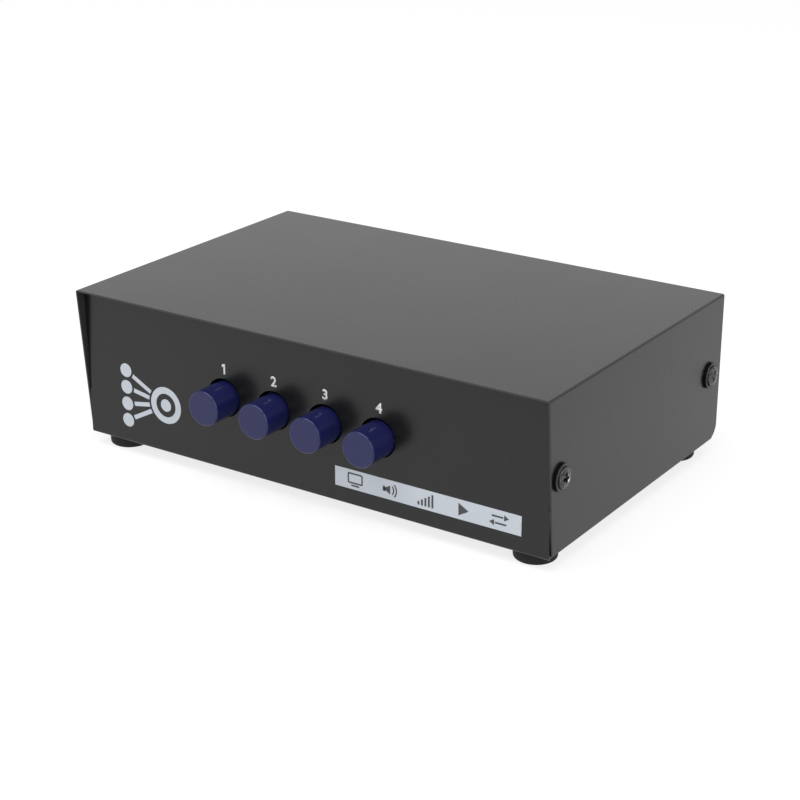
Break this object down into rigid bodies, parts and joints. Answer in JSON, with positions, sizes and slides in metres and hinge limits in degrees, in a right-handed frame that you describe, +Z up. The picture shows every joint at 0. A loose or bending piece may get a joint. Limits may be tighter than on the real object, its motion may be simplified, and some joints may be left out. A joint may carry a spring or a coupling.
{
  "type": "audio video selector switch",
  "caption": "Low black steel box with a row of round push buttons in front, each picking one column of phono jacks at the back.",
  "frame": {"origin": "on the surface under the feet, in the middle of the object's box", "axes": "+X to the right as seen from the front, +Y from the buttons to the jacks, +Z up"},
  "size_m": [0.1612, 0.117, 0.049],
  "materials": {
    "cover_paint": "satin black powder coat",
    "chassis_paint": "satin black powder coat",
    "black_screw": "blackened steel",
    "washer_nylon": "matte black nylon",
    "foot_rubber": "matte black rubber",
    "button_blue": "moulded blue plastic",
    "plunger_plastic": "natural plastic",
    "contact_brass": "bright brass",
    "spring_steel": "bright spring steel",
    "switch_plastic": "black moulding",
    "zinc_steel": "bright zinc plate",
    "board": "phenolic board",
    "jack_plastic": "black moulding",
    "jack_yellow": "moulded yellow plastic",
    "jack_white": "moulded white plastic",
    "jack_red": "moulded red plastic",
    "jack_nickel": "bright nickel plate",
    "ribbon_grey": "grey ribbon cable"
  },
  "bodies": {
    "case": {"floor_plate": "chassis_paint", "front_panel": "chassis_paint", "rear_panel": "chassis_paint", "top_cover": "cover_paint", "cover_screws": "black_screw", "cover_washers": "washer_nylon", "foot_front_left": "foot_rubber", "foot_front_right": "foot_rubber", "foot_rear_left": "foot_rubber", "foot_rear_right": "foot_rubber", "foot_screws": "zinc_steel", "return_spring_1": "spring_steel", "switch_body_1": "switch_plastic", "return_spring_2": "spring_steel", "switch_body_2": "switch_plastic", "return_spring_3": "spring_steel", "switch_body_3": "switch_plastic", "return_spring_4": "spring_steel", "switch_body_4": "switch_plastic", "switch_frame": "zinc_steel", "latch_spring": "spring_steel", "switch_terminals": "zinc_steel", "switch_board": "board", "board_spacers": "contact_brass", "board_screws": "zinc_steel", "jack_block_1": "jack_plastic", "jack_block_2": "jack_plastic", "jack_block_3": "jack_plastic", "jack_block_4": "jack_plastic", "jack_block_5": "jack_plastic", "video_jack_inserts": "jack_yellow", "left_jack_inserts": "jack_white", "right_jack_inserts": "jack_red", "jack_sleeves": "jack_nickel", "jack_contacts": "contact_brass", "jack_screws": "black_screw", "jack_board": "board", "ribbon_headers": "switch_plastic", "ribbon_cable": "ribbon_grey"},
    "button_1": {"button_cap_1": "button_blue", "plunger_1": "plunger_plastic", "contact_clips_1": "contact_brass"},
    "button_2": {"button_cap_2": "button_blue", "plunger_2": "plunger_plastic", "contact_clips_2": "contact_brass"},
    "button_3": {"button_cap_3": "button_blue", "plunger_3": "plunger_plastic", "contact_clips_3": "contact_brass"},
    "button_4": {"button_cap_4": "button_blue", "plunger_4": "plunger_plastic", "contact_clips_4": "contact_brass"},
    "latch": {"latch_bar": "zinc_steel"}
  },
  "joints": [
    {"name": "button_1_press", "type": "slide", "parent": "case", "child": "button_1", "axis": [0, 1, 0], "range_m": [0, 0.0055], "stiffness_N_per_m": 400, "springref_m": -0.004, "deforming": ["return_spring_1"]},
    {"name": "button_2_press", "type": "slide", "parent": "case", "child": "button_2", "axis": [0, 1, 0], "range_m": [0, 0.0055], "stiffness_N_per_m": 400, "springref_m": -0.004, "deforming": ["return_spring_2"]},
    {"name": "button_3_press", "type": "slide", "parent": "case", "child": "button_3", "axis": [0, 1, 0], "range_m": [0, 0.0055], "stiffness_N_per_m": 400, "springref_m": -0.004, "deforming": ["return_spring_3"]},
    {"name": "button_4_press", "type": "slide", "parent": "case", "child": "button_4", "axis": [0, 1, 0], "range_m": [0, 0.0055], "stiffness_N_per_m": 400, "springref_m": -0.004, "deforming": ["return_spring_4"]},
    {"name": "latch_slide", "type": "slide", "parent": "case", "child": "latch", "axis": [1, 0, 0], "range_m": [0, 0.0015], "stiffness_N_per_m": 150, "deforming": ["latch_spring"]}
  ]
}
